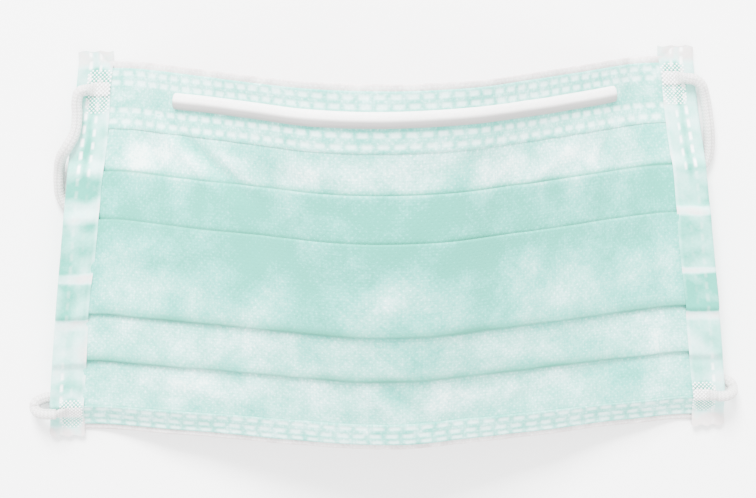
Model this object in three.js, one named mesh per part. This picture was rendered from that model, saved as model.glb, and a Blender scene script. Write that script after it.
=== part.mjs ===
// Disposable three-ply surgical face mask, lying outer face up on its two side
// tapes with both elastic ear loops tucked beneath it.  Millimetres, +Z up,
// +X along the width, +Y toward the nose edge.
//
// Every cloth wall is described on the flat mask first: "across" runs along the
// width from the centre line, "height" runs from the chin edge to the nose edge
// and "level" is the distance in front of the rear ply.  place() then bends that
// flat description over one arch, so all the walls keep their gaps.
import * as THREE from 'three';

// ---- overall sizes -------------------------------------------------------
const MASK_WIDTH = 175;          // tape edge to tape edge, measured along the cloth
const MASK_HEIGHT = 92;          // chin edge to nose edge, pleats closed
const WALL = 1.0;                // every cloth wall
const GAP = 0.3;                 // clearance kept between neighbouring walls
const PLY_STEP = WALL + GAP;     // distance between two stacked walls
const LINING_MARGIN = 1.5;       // white lining showing past the green ply

// ---- side tapes ----------------------------------------------------------
const TAPE_WIDTH = 8.5;
const TAPE_BELOW = 1.5;          // tape ends stand past the chin edge
const TAPE_ABOVE = 2.4;          // and past the nose edge
// Front half of the U-shaped section; the rear half mirrors it.  An inset is
// measured in from the side edge, a reach out from the face of the stack.
const TAPE_PROFILE = [
  { face: 1, outerInset: TAPE_WIDTH, outerReach: GAP + WALL, innerInset: TAPE_WIDTH, innerReach: GAP },
  { face: 1, outerInset: 0.4, outerReach: GAP + WALL, innerInset: WALL + 0.3, innerReach: GAP },
  { face: 1, outerInset: 0, outerReach: GAP + WALL / 2, innerInset: WALL, innerReach: GAP / 2 },
];

// ---- edge bands and nose strip -------------------------------------------
const TOP_HEM_HEIGHT = 16;
const BOTTOM_HEM_HEIGHT = 7;
const LINING_FOLD = 12;          // how far the lining reaches behind the panel
const NOSE_STRIP_LENGTH = 126;
const NOSE_STRIP_HEIGHT = 84.7;  // middle of the strip above the chin edge
const NOSE_STRIP_PROFILE = [     // half-round cross-section
  { offset: -2.4, rise: 0.5 },
  { offset: -1.5, rise: 1.1 },
  { offset: 0.0, rise: 1.4 },
  { offset: 1.5, rise: 1.1 },
  { offset: 2.4, rise: 0.5 },
];

// ---- arch ----------------------------------------------------------------
// tilt: slope of the flanks; crest: half length of the rounded ridge
const ARCH = [
  { height: 0, tilt: 17, crest: 13 },
  { height: 46, tilt: 30, crest: 21 },
  { height: 92, tilt: 42, crest: 29 },
];
const FOOT_BEND = 9;             // cloth length over which a flank levels out
// The tapes touch the table at the four corners and ride over the loops between.
const FOOT_LIFT = [
  { height: 2.5, lift: 0 },
  { height: 7, lift: 3.3 },
  { height: 66, lift: 3.3 },
  { height: 80, lift: 0 },
];
const REAR_LEVEL = PLY_STEP + WALL / 2; // mid-wall of the rear ply above the table

// ---- pleats --------------------------------------------------------------
// edge: where the fold shows; side: +1 opens to the nose and rises toward the
// front, -1 opens to the chin and drops back again
const PLEATS = [
  { edge: 66.2, side: 1 },
  { edge: 54.7, side: 1 },
  { edge: 31.2, side: -1 },
  { edge: 19.0, side: -1 },
];
const PLEAT_DEPTH = 9.5;
const TURN_STEPS = 4;

// ---- shallow dents of the free cloth -------------------------------------
const DENTS = [
  { across: -42, height: 72, halfWidth: 18, halfHeight: 5, depth: -0.9 },
  { across: 30, height: 72, halfWidth: 22, halfHeight: 5, depth: 0.6 },
  { across: -2, height: 13.5, halfWidth: 10, halfHeight: 5, depth: -0.8 },
  { across: 48, height: 13.5, halfWidth: 20, halfHeight: 5, depth: 0.5 },
];

// ---- ear loops -----------------------------------------------------------
const LOOP_DIAMETER = 2.6;
const LOOP_SIDES = 8;
const LOOP_STEP = 2.6;           // short steps, for the tight turns at the welds
const TAB_NEAR = 79.8;           // flattened loop ends, welded on the tapes
const TAB_FAR = 84.0;
const TAB_HALF = 1.5;

// Route of the left loop's centre line: across the table, height on the mask,
// and rise over the table, from its upper weld to its lower weld.
const LEFT_LOOP = [
  [-72.0, 85.6, 5.4], [-73.5, 85.1, 5.4], [-74.3, 82.8, 5.4], [-74.3, 79.5, 5.6],
  [-74.9, 75.5, 6.6], [-76.7, 72.3, 7.4], [-78.5, 69.4, 6.1], [-79.3, 66.0, 3.6],
  [-79.6, 62.5, 1.8], [-79.4, 59.5, 1.4], [-78.0, 57.0, 1.4], [-75.6, 55.2, 1.4],
  [-67.0, 53.8, 1.4], [-54.0, 52.8, 1.4], [-41.5, 49.5, 1.4], [-32.0, 42.5, 1.4],
  [-30.5, 33.0, 1.4], [-34.0, 23.5, 1.4], [-43.0, 17.0, 1.4], [-56.5, 13.2, 1.4], [-70.0, 10.8, 1.4],
  [-79.5, 9.2, 1.4], [-83.5, 8.7, 1.4], [-86.2, 8.2, 1.7], [-87.7, 7.4, 2.9],
  [-87.9, 6.4, 4.7], [-87.0, 5.6, 6.4], [-85.0, 5.4, 7.4], [-82.4, 5.4, 7.5],
];
const RIGHT_LOOP = [
  [71.9, 86.9, 5.4], [73.9, 86.6, 5.4], [75.6, 85.2, 5.3], [76.6, 82.6, 4.7],
  [77.3, 79.0, 3.7], [77.9, 75.0, 2.6], [78.3, 71.0, 1.7], [78.1, 67.6, 1.4],
  [76.6, 64.9, 1.4], [73.5, 63.1, 1.4], [65.0, 61.0, 1.4], [53.0, 58.8, 1.4],
  [41.0, 54.2, 1.4], [31.0, 46.5, 1.4], [27.0, 36.5, 1.4], [30.5, 27.0, 1.4], [41.0, 19.8, 1.4],
  [53.5, 15.4, 1.4], [66.0, 12.9, 1.4], [76.0, 11.5, 1.4], [82.0, 10.9, 1.4],
  [84.5, 10.3, 1.7], [85.8, 9.5, 3.1], [86.1, 8.7, 5.1], [85.5, 8.0, 7.1],
  [83.9, 7.7, 8.5], [81.6, 7.6, 8.6],
];
const LEFT_TAB_HEIGHTS = { upper: 85.6, lower: 5.4 };
const RIGHT_TAB_HEIGHTS = { upper: 86.9, lower: 7.6 };

// ---- colours -------------------------------------------------------------
const FINISHES = {
  mint: { color: 0xb9e2d8, roughness: 0.85, metalness: 0 },
  mintBand: { color: 0xcdeae3, roughness: 0.85, metalness: 0 },
  lining: { color: 0xf3eeec, roughness: 0.9, metalness: 0 },
  tape: { color: 0xd3ebe5, roughness: 0.8, metalness: 0 },
  strip: { color: 0xf0f0ef, roughness: 0.6, metalness: 0 },
  elastic: { color: 0xf2efec, roughness: 0.85, metalness: 0 },
};

const HALF_WIDTH = MASK_WIDTH / 2;
const TAPE_INNER = HALF_WIDTH - TAPE_WIDTH;
const FLANK_END = TAPE_INNER - FOOT_BEND;
const PANEL_HALF = HALF_WIDTH - WALL - GAP;
const BAND_HALF = TAPE_INNER - 0.4;
const GREEN_LOW = LINING_MARGIN;
const GREEN_HIGH = MASK_HEIGHT - LINING_MARGIN;
const MIDDLE_HEIGHT = (MASK_HEIGHT + TAPE_ABOVE - TAPE_BELOW) / 2;

// Stations that all walls share, so that their facets stay parallel.
const ACROSS_HALF = [5, 10, 16, 23, 30, 40, 50, 60, FLANK_END, FLANK_END + FOOT_BEND / 2, TAPE_INNER];
const HEIGHTS = [GREEN_LOW, 2.5, 7, 9, 12, 15, 66, 68, 70, 72, 74, 76, 80, 85, GREEN_HIGH];

// Value of a column at x, straight between the rows and level past the ends.
function readTable(rows, key, column, x) {
  if (x <= rows[0][key]) return rows[0][column];
  for (let i = 1; i < rows.length; i += 1) {
    const low = rows[i - 1];
    const high = rows[i];
    if (x <= high[key]) {
      const part = (x - low[key]) / (high[key] - low[key]);
      return low[column] + part * (high[column] - low[column]);
    }
  }
  return rows[rows.length - 1][column];
}

// Travel along a strip of cloth whose slope changes evenly from a to b.
function evenBend(length, a, b) {
  if (Math.abs(b - a) < 1e-6) return { run: length * Math.cos(a), fall: length * Math.sin(a) };
  return {
    run: length * (Math.sin(b) - Math.sin(a)) / (b - a),
    fall: length * (Math.cos(a) - Math.cos(b)) / (b - a),
  };
}

// Arch at one height: a rounded ridge, a straight flank, a bend and a level foot.
function archSection(distance, height) {
  const tilt = THREE.MathUtils.degToRad(readTable(ARCH, 'height', 'tilt', height));
  const crest = readTable(ARCH, 'height', 'crest', height);
  const parts = [
    { length: crest, from: 0, to: tilt },
    { length: FLANK_END - crest, from: tilt, to: tilt },
    { length: FOOT_BEND, from: tilt, to: 0 },
    { length: TAPE_WIDTH, from: 0, to: 0 },
  ];
  const total = { run: 0, fall: 0 };
  const here = { run: 0, fall: 0, slope: 0 };
  let start = 0;
  for (const part of parts) {
    const whole = evenBend(part.length, part.from, part.to);
    if (distance > start || start === 0) {
      const used = Math.min(distance - start, part.length);
      const slope = part.from + (part.to - part.from) * used / part.length;
      const travel = evenBend(used, part.from, slope);
      here.run = total.run + travel.run;
      here.fall = total.fall + travel.fall;
      here.slope = slope;
    }
    total.run += whole.run;
    total.fall += whole.fall;
    start += part.length;
  }
  const onFlank = THREE.MathUtils.clamp((distance - crest) / (FLANK_END - crest), 0, 1);
  const lift = onFlank * readTable(FOOT_LIFT, 'height', 'lift', height);
  return { run: here.run, rise: total.fall - here.fall + lift, slope: here.slope };
}

function dentDepth(across, height) {
  let depth = 0;
  for (const dent of DENTS) {
    const a = (across - dent.across) / dent.halfWidth;
    const b = (height - dent.height) / dent.halfHeight;
    if (Math.abs(a) < 1 && Math.abs(b) < 1) {
      depth += dent.depth * (1 - a * a) ** 2 * (1 - b * b) ** 2;
    }
  }
  return depth;
}

// Flat mask to the arched one.
function place(across, height, level) {
  const section = archSection(Math.abs(across), height);
  const out = level + dentDepth(across, height);
  return new THREE.Vector3(
    Math.sign(across) * (section.run + Math.sin(section.slope) * out),
    height - MIDDLE_HEIGHT,
    section.rise + Math.cos(section.slope) * out + REAR_LEVEL,
  );
}

// Closed solid from two matching grids of points, front (side 1) and rear (-1).
function solidFromGrids(rows, columns, point) {
  const positions = [];
  const indices = [];
  for (const side of [1, -1]) {
    for (let i = 0; i < rows; i += 1) {
      for (let j = 0; j < columns; j += 1) positions.push(...point(i, j, side).toArray());
    }
  }
  const at = (side, i, j) => (side > 0 ? 0 : rows * columns) + i * columns + j;
  const quad = (a, b, c, d) => indices.push(a, b, c, a, c, d);
  for (let i = 0; i + 1 < rows; i += 1) {
    for (let j = 0; j + 1 < columns; j += 1) {
      quad(at(1, i, j), at(1, i + 1, j), at(1, i + 1, j + 1), at(1, i, j + 1));
      quad(at(-1, i, j), at(-1, i, j + 1), at(-1, i + 1, j + 1), at(-1, i + 1, j));
    }
  }
  for (let i = 0; i + 1 < rows; i += 1) {
    quad(at(1, i, 0), at(-1, i, 0), at(-1, i + 1, 0), at(1, i + 1, 0));
    const j = columns - 1;
    quad(at(1, i, j), at(1, i + 1, j), at(-1, i + 1, j), at(-1, i, j));
  }
  for (let j = 0; j + 1 < columns; j += 1) {
    quad(at(1, 0, j), at(1, 0, j + 1), at(-1, 0, j + 1), at(-1, 0, j));
    const i = rows - 1;
    quad(at(1, i, j), at(-1, i, j), at(-1, i, j + 1), at(1, i, j + 1));
  }
  return facingOut(positions, indices);
}

// Turn every triangle over when the solid comes out inside out.
function facingOut(positions, indices) {
  const corner = (k) => new THREE.Vector3().fromArray(positions, indices[k] * 3);
  let volume = 0;
  for (let k = 0; k < indices.length; k += 3) {
    volume += corner(k).dot(corner(k + 1).cross(corner(k + 2)));
  }
  const order = volume < 0 ? [...indices].reverse() : indices;
  const geometry = new THREE.BufferGeometry();
  geometry.setAttribute('position', new THREE.Float32BufferAttribute(positions, 3));
  geometry.setIndex(order);
  geometry.computeVertexNormals();
  return geometry;
}

function acrossStations(halfLength) {
  const right = ACROSS_HALF.filter((a) => a < halfLength - 1);
  right.push(halfLength);
  return [...right.map((a) => -a).reverse(), 0, ...right];
}

function heightStations(low, high) {
  return [low, ...HEIGHTS.filter((h) => h > low + 0.6 && h < high - 0.6), high];
}

// Zig-zag of the panel in (height, level), from the nose edge to the chin edge.
// Each point also carries the direction of its front face.
function pleatPath() {
  const radius = PLY_STEP / 2;
  const path = [];
  let level = 0;
  let from = GREEN_HIGH;
  const downRun = (low) => {
    for (const height of heightStations(low, from).reverse()) {
      path.push({ height, level, faceHeight: 0, faceLevel: 1 });
    }
  };
  const halfTurn = (centre, heading, side) => {
    for (let k = 1; k < TURN_STEPS; k += 1) {
      const angle = Math.PI * k / TURN_STEPS;
      path.push({
        height: centre + heading * radius * Math.sin(angle),
        level: level + side * radius * (1 - Math.cos(angle)),
        faceHeight: side * Math.sin(angle),
        faceLevel: -heading * Math.cos(angle),
      });
    }
    level += side * PLY_STEP;
  };
  for (const pleat of PLEATS) {
    const shown = pleat.edge - pleat.side * (WALL / 2 + radius);
    const hidden = pleat.edge - pleat.side * (PLEAT_DEPTH - radius);
    const low = Math.min(shown, hidden);
    const high = Math.max(shown, hidden);
    downRun(low);
    halfTurn(low, -1, pleat.side);
    path.push({ height: low, level, faceHeight: 0, faceLevel: -1 });
    path.push({ height: high, level, faceHeight: 0, faceLevel: -1 });
    halfTurn(high, 1, pleat.side);
    from = high;
  }
  downRun(GREEN_LOW);
  return path;
}

function pleatedPanel() {
  const path = pleatPath();
  const stations = acrossStations(PANEL_HALF);
  return solidFromGrids(path.length, stations.length, (i, j, side) => {
    const p = path[i];
    const off = side * WALL / 2;
    return place(stations[j], p.height + off * p.faceHeight, p.level + off * p.faceLevel);
  });
}

// Plain band between two heights, its rear face at the given level.
function band(halfLength, low, high, rear) {
  const heights = heightStations(low, high);
  const stations = acrossStations(halfLength);
  return solidFromGrids(heights.length, stations.length, (i, j, side) => (
    place(stations[j], heights[i], side > 0 ? rear + WALL : rear)
  ));
}

function noseStrip() {
  const rear = WALL / 2 + PLY_STEP + GAP;
  const stations = acrossStations(NOSE_STRIP_LENGTH / 2);
  return solidFromGrids(NOSE_STRIP_PROFILE.length, stations.length, (i, j, side) => {
    const row = NOSE_STRIP_PROFILE[i];
    return place(stations[j], NOSE_STRIP_HEIGHT + row.offset, side > 0 ? rear + row.rise : rear);
  });
}

// Level of the foremost wall under a tape, with a ramp beside each fold.
function tapeCover() {
  const rampStart = 0.5;
  const rampLength = 3;
  const rows = [];
  let level = 0;
  for (const pleat of PLEATS) {
    const before = level;
    level += 2 * pleat.side * PLY_STEP;
    const near = pleat.edge + pleat.side * rampStart;
    const far = near + pleat.side * rampLength;
    if (pleat.side > 0) rows.push({ height: far, level: before }, { height: near, level });
    else rows.push({ height: near, level: before }, { height: far, level });
  }
  return rows.reverse();
}

// Tape folded round the side edge: front leg, round back and rear leg.
function sideTape(hand) {
  const cover = tapeCover();
  const kinks = [...cover, ...FOOT_LIFT].map((row) => row.height);
  const ends = [-TAPE_BELOW, MASK_HEIGHT + TAPE_ABOVE];
  const heights = [...kinks, ...ends].sort((a, b) => a - b);
  const rows = [...TAPE_PROFILE, ...TAPE_PROFILE.map((row) => ({ ...row, face: -1 })).reverse()];
  return solidFromGrids(rows.length, heights.length, (i, j, side) => {
    const row = rows[i];
    const inset = side > 0 ? row.outerInset : row.innerInset;
    const reach = WALL / 2 + (side > 0 ? row.outerReach : row.innerReach);
    const stack = row.face > 0 ? readTable(cover, 'height', 'level', heights[j]) : 0;
    return place(hand * (HALF_WIDTH - inset), heights[j], stack + row.face * reach);
  });
}

// Flattened end of an ear loop, welded on the front of a tape.
function loopTab(hand, middle) {
  const heights = heightStations(middle - TAB_HALF, middle + TAB_HALF);
  const stations = [TAB_NEAR, (TAB_NEAR + TAB_FAR) / 2, TAB_FAR];
  const rear = WALL / 2 + PLY_STEP + GAP;
  return solidFromGrids(heights.length, stations.length, (i, j, side) => (
    place(hand * stations[j], heights[i], side > 0 ? rear + WALL : rear)
  ));
}

// Round elastic along its route, a plain tube.
function earLoop(route) {
  const points = route.map(([x, height, z]) => new THREE.Vector3(x, height - MIDDLE_HEIGHT, z));
  const curve = new THREE.CatmullRomCurve3(points, false, 'centripetal');
  const section = new THREE.Shape();
  const radius = LOOP_DIAMETER / 2;
  for (let k = 0; k < LOOP_SIDES; k += 1) {
    const angle = 2 * Math.PI * k / LOOP_SIDES;
    const x = radius * Math.cos(angle);
    const y = radius * Math.sin(angle);
    if (k === 0) section.moveTo(x, y);
    else section.lineTo(x, y);
  }
  section.closePath();
  const steps = Math.round(curve.getLength() / LOOP_STEP);
  return new THREE.ExtrudeGeometry(section, {
    steps, curveSegments: 1, extrudePath: curve, bevelEnabled: false,
  });
}

const mask = new THREE.Group();
mask.name = 'surgical_face_mask';

function addPiece(name, geometry, finish) {
  const mesh = new THREE.Mesh(geometry, new THREE.MeshStandardMaterial(FINISHES[finish]));
  mesh.name = name;
  mask.add(mesh);
}

const FRONT_BAND = WALL / 2 + GAP;
const REAR_BAND = -WALL / 2 - GAP - WALL;

addPiece('pleated_panel', pleatedPanel(), 'mint');
addPiece('top_hem', band(BAND_HALF, MASK_HEIGHT - TOP_HEM_HEIGHT, GREEN_HIGH, FRONT_BAND), 'mintBand');
addPiece('bottom_hem', band(BAND_HALF, GREEN_LOW, BOTTOM_HEM_HEIGHT, FRONT_BAND), 'mintBand');
addPiece('top_lining', band(BAND_HALF, MASK_HEIGHT - LINING_FOLD, MASK_HEIGHT, REAR_BAND), 'lining');
addPiece('bottom_lining', band(BAND_HALF, 0, LINING_FOLD, REAR_BAND), 'lining');
addPiece('nose_strip', noseStrip(), 'strip');
addPiece('left_tape', sideTape(-1), 'tape');
addPiece('right_tape', sideTape(1), 'tape');
addPiece('left_upper_loop_tab', loopTab(-1, LEFT_TAB_HEIGHTS.upper), 'elastic');
addPiece('left_lower_loop_tab', loopTab(-1, LEFT_TAB_HEIGHTS.lower), 'elastic');
addPiece('right_upper_loop_tab', loopTab(1, RIGHT_TAB_HEIGHTS.upper), 'elastic');
addPiece('right_lower_loop_tab', loopTab(1, RIGHT_TAB_HEIGHTS.lower), 'elastic');
addPiece('left_ear_loop', earLoop(LEFT_LOOP), 'elastic');
addPiece('right_ear_loop', earLoop(RIGHT_LOOP), 'elastic');

export default mask;
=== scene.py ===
# %% [markdown]
# # A pleated surgical mask
# The mask lies outer face up.  It is one arch of thin cloth with four pleats, a nose strip, two side tapes
# and two elastics tucked underneath.  Every cloth piece is worked out twice over: first on the flat mask,
# where "across" runs along the width, "height" from the chin edge to the nose edge and "level" is the
# distance in front of the rear ply, and then bent over the arch.  Lengths are in millimetres until a mesh
# is written, because the cloth is easier to think about in whole numbers.

# %% Load the frame
import bpy
import numpy as np
from mathutils import Matrix, Vector


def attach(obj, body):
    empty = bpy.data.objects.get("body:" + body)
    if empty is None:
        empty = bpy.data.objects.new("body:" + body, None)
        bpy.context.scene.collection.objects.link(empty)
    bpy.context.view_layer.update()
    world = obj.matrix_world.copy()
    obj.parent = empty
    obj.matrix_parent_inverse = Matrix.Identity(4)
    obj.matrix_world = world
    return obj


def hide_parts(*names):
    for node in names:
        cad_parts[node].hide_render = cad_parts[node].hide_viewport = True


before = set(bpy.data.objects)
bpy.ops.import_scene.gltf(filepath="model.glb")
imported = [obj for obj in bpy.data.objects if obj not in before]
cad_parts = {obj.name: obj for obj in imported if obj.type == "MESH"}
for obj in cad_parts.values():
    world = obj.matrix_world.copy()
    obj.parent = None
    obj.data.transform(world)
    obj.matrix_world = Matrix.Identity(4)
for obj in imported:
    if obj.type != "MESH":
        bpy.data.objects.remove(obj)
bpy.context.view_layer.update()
MM = 0.001

# %% [markdown]
# ## Camera
# The camera hangs almost straight above the mask, leaning a little over the nose edge.  A long lens keeps the
# tapes nearly parallel.  The rotation is built from three axes, because "look at" helpers turn wildly when a
# camera looks nearly straight down.

# %% Camera
def aim_camera(place_at, target, lens, roll_degrees):
    """Right is forward crossed with +Y, up is right crossed with forward, and both are rolled together."""
    forward = (target - place_at).normalized()
    right = forward.cross(Vector((0, 1, 0))).normalized()
    up = right.cross(forward)
    turn = Matrix((right, up, -forward)).transposed().to_4x4()
    data = bpy.data.cameras.new("camera")
    data.lens = lens
    data.sensor_width = 36
    data.clip_start = 0.01
    camera = bpy.data.objects.new("camera", data)
    roll = Matrix.Rotation(np.radians(roll_degrees), 4, "Z")
    camera.matrix_world = Matrix.Translation(place_at) @ turn @ roll
    bpy.context.scene.collection.objects.link(camera)
    bpy.context.scene.camera = camera
    return camera

camera = aim_camera(Vector((-0.0176, 0.1110, 0.4695)), Vector((0, -0.0005, 0.0150)), 93.5, -0.25)
camera.data.shift_x, camera.data.shift_y = -0.0167, 0.0137
print("camera", [round(v, 4) for v in camera.location])

# %% [markdown]
# ## Sizes
# These are the sizes of the cut cloth.  The cloth itself is much thinner than the frame's walls, so the pleats
# stack up in half-millimetre steps and the mask settles closer to the table.

# %% Sizes
HALF_WIDTH, MASK_HEIGHT, MIDDLE_HEIGHT = 87.5, 92.0, 46.45
TAPE_INNER, FOOT_BEND = 79.0, 9.0
FLANK_END = TAPE_INNER - FOOT_BEND
GREEN_LOW, GREEN_HIGH = 1.5, 90.5
PLY_HALF = 0.17            # half the thickness of the three plies together
PLY_STEP = 0.56            # from one stacked layer of a pleat to the next
REAR_LEVEL = 0.95          # middle of the rearmost cloth above the table
TAPE_FACE = 0.66           # outside of a tape from the middle of the cloth it covers
# A pleat opens to the nose (side 1) or to the chin (side -1), and its edge is where the fold shows.
PLEATS = [
    dict(edge=66.2, side=1),
    dict(edge=54.7, side=1),
    dict(edge=31.2, side=-1),
    dict(edge=19.0, side=-1),
]
PLEAT_DEPTH = 9.5
ARCH = dict(height=[0, 46, 92], tilt=[17, 30, 42], crest=[13, 21, 29])
FOOT_LIFT = dict(height=[2.5, 7, 66, 80], lift=[0, 3.3, 3.3, 0])

# %% [markdown]
# ## The arch
# Across the mask the cloth follows a rounded ridge, a straight flank, a bend and a level foot.  Real cloth
# bends in one direction only, so the arch changes slowly from chin to nose and every piece can share it.

# %% Arch and ripples
def smooth_step(low, high, x):
    """0 below low, 1 above high, and 3t^2 - 2t^3 between."""
    t = np.clip((x - low) / (high - low), 0, 1)
    return t * t * (3 - 2 * t)

def arch(across, height):
    """Slope grows evenly over the crest, stays at the tilt on the flank and returns evenly to level in the
    bend; run and fall are the integrals of its cosine and sine."""
    tilt = np.radians(np.interp(height, ARCH["height"], ARCH["tilt"]))
    crest = np.interp(height, ARCH["height"], ARCH["crest"])
    out = np.abs(across)
    ridge = np.minimum(out, crest) * tilt / crest
    flank = np.clip(out - crest, 0, FLANK_END - crest)
    bend = tilt * (1 - np.clip(out - FLANK_END, 0, FOOT_BEND) / FOOT_BEND)
    foot = np.maximum(out - TAPE_INNER, 0)
    run = (np.sin(ridge) * crest + (np.sin(tilt) - np.sin(bend)) * FOOT_BEND) / tilt
    fall = ((1 - np.cos(ridge)) * crest + (np.cos(bend) - np.cos(tilt)) * FOOT_BEND) / tilt
    whole = ((1 - np.cos(tilt)) * (crest + FOOT_BEND)) / tilt + (FLANK_END - crest) * np.sin(tilt)
    slope = np.where(out < crest, ridge, np.where(out < FLANK_END, tilt, bend))
    lift = np.interp(height, FOOT_LIFT["height"], FOOT_LIFT["lift"])
    lift = lift * np.clip((out - crest) / (FLANK_END - crest), 0, 1)
    run = run + flank * np.cos(tilt) + foot
    return np.sign(across) * run, whole - fall - flank * np.sin(tilt) + lift, np.sign(across) * slope

def waves(x, y, longest, shortest, count, seed):
    """Sum of count cosines with random directions, phases and lengths between longest and shortest."""
    draw = np.random.default_rng(seed)
    total = np.zeros(np.broadcast(x, y).shape)
    for length, angle, phase in zip(draw.uniform(shortest, longest, count), draw.uniform(0, np.pi, count),
                                    draw.uniform(0, 2 * np.pi, count)):
        total += np.cos(2 * np.pi / length * (x * np.cos(angle) + y * np.sin(angle)) + phase)
    return total * np.sqrt(2 / count)

# A row is one crease: its middle, its direction, how long and wide it runs, and its height (minus is a dip).
CREASES = dict(
    across=[-57, -50, -42, -66, -20, 14, 45, 60, -4, 3, -44, 38, -60, 62, -15, 25],
    height=[72.5, 71.5, 71, 71, 71.5, 72, 71.5, 72, 13.5, 13.0, 12.5, 12.5, 48, 50, 44, 24],
    angle=[-32, -30, -28, -50, -10, 8, 25, 50, -48, -50, -12, 14, 5, -8, 3, -4],
    length=[11, 14, 10, 7, 16, 18, 13, 6, 6.5, 6, 18, 20, 14, 12, 20, 15],
    width=[1.8, 1.9, 2.2, 1.6, 2.6, 2.6, 2.2, 1.6, 1.5, 1.6, 2.0, 2.2, 3.5, 3.0, 4.0, 3.0],
    rise=[0.45, -0.6, 0.5, -0.35, 0.3, -0.25, 0.3, -0.3, 0.45, -0.55, 0.25, -0.25, 0.3, -0.3, -0.2, 0.2],
)

def creases(across, height):
    """One bell-shaped ridge or dip for each row of the table."""
    relief = np.zeros(np.broadcast(across, height).shape)
    for a, h, turn, length, width, rise in zip(*CREASES.values()):
        c, s = np.cos(np.radians(turn)), np.sin(np.radians(turn))
        along = (across - a) * c + (height - h) * s
        aside = (height - h) * c - (across - a) * s
        relief = relief + rise * np.exp(-(along / length) ** 2 - (aside / width) ** 2)
    return relief

def ripples(across, height):
    """Long soft waves and the creases, dying out towards the tapes."""
    relief = 0.20 * waves(across, height, 46, 17, 18, 4) + 0.06 * waves(across, height, 15, 7, 26, 9)
    return (relief + creases(across, height)) * smooth_step(84, 70, np.abs(across))

def place(across, height, level):
    """Flat mask to the table: the level is measured square to the arch, ripples included."""
    run, rise, slope = arch(across, height)
    out = level + ripples(across, height)
    x = run + np.sin(slope) * out
    z = rise + np.cos(slope) * out + REAR_LEVEL
    return np.stack(np.broadcast_arrays(x, height - MIDDLE_HEIGHT, z), axis=-1) * MM

print("ridge above the table at chin and nose, mm",
      [round(float(place(0.0, h, 0.0)[2] / MM), 1) for h in (0.0, 92.0)])

# %% [markdown]
# ## Writing a mesh
# Each piece is a grid of points.  Whole arrays go to the mesh with foreach_set, which is far quicker than one
# vertex at a time.  A grid can be closed in either direction, and a number stored on each vertex lets the
# material know where it is on the cloth.

# %% Grid to mesh
def grid_faces(rows, columns, wrap_rows=False, wrap_columns=False):
    """Four corners of each cell of a grid, as rows of vertex numbers."""
    i = np.arange(rows if wrap_rows else rows - 1)[:, None]
    j = np.arange(columns if wrap_columns else columns - 1)[None, :]
    i2, j2 = (i + 1) % rows, (j + 1) % columns
    corners = [i * columns + j, i2 * columns + j, i2 * columns + j2, i * columns + j2]
    return np.stack([np.broadcast_to(c, (i.size, j.size)) for c in corners], axis=-1).reshape(-1, 4)

def write_mesh(name, points, faces, material, uv=None, marks=None):
    """points (n, 3) in metres; faces (m, 4) or (m, 3); uv (n, 2) in decimetres; marks name to n numbers."""
    mesh = bpy.data.meshes.new(name)
    count, sides = faces.shape
    mesh.vertices.add(len(points))
    mesh.vertices.foreach_set("co", np.ascontiguousarray(points, dtype=np.float32).ravel())
    mesh.loops.add(count * sides)
    mesh.loops.foreach_set("vertex_index", np.ascontiguousarray(faces, dtype=np.int32).ravel())
    mesh.polygons.add(count)
    mesh.polygons.foreach_set("loop_start", np.arange(0, count * sides, sides, dtype=np.int32))
    mesh.polygons.foreach_set("use_smooth", np.ones(count, dtype=bool))
    mesh.update(calc_edges=True)
    if uv is not None:
        layer = mesh.uv_layers.new(name="cloth")
        layer.data.foreach_set("uv", np.ascontiguousarray(uv[faces.ravel()], dtype=np.float32).ravel())
    for key, values in (marks or {}).items():
        mark = mesh.attributes.new(key, "FLOAT", "POINT")
        mark.data.foreach_set("value", values.astype(np.float32).ravel())
    mesh.materials.append(material)
    mesh.validate()
    piece = bpy.data.objects.new(name, mesh)
    bpy.context.scene.collection.objects.link(piece)
    print(name, "triangles", count * (sides - 2))
    return piece

def adopt(piece, slot_name, *nodes):
    """Every piece rides on the one body and stands for the nodes it covers."""
    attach(piece, "root")
    if nodes:
        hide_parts(*nodes)
    return piece

# %% [markdown]
# ## Shader maths
# Node trees for cloth are mostly arithmetic.  Signal wraps one socket so that a formula can be written as a
# Python expression, and each operator adds its Math node.  Finish makes the material and any other node.

# %% Signals and finishes
class Signal:
    """A number that varies over the surface."""
    def __init__(self, finish, socket):
        self.finish, self.socket = finish, socket
    def math(self, operation, *values):
        return self.finish.number("ShaderNodeMath", dict(operation=operation), dict(enumerate(values)))
    def __add__(self, other): return self.math("ADD", self, other)
    __radd__ = __add__
    def __sub__(self, other): return self.math("SUBTRACT", self, other)
    def __rsub__(self, other): return self.math("SUBTRACT", other, self)
    def __mul__(self, other): return self.math("MULTIPLY", self, other)
    __rmul__ = __mul__
    def sin(self): return self.math("SINE", self)
    def clamp(self): return self.finish.number("ShaderNodeClamp", {}, {0: self})
    def ease(self, low, high):
        settings = dict(interpolation_type="SMOOTHSTEP")
        return self.finish.number("ShaderNodeMapRange", settings, {0: self, 1: low, 2: high})

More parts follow.
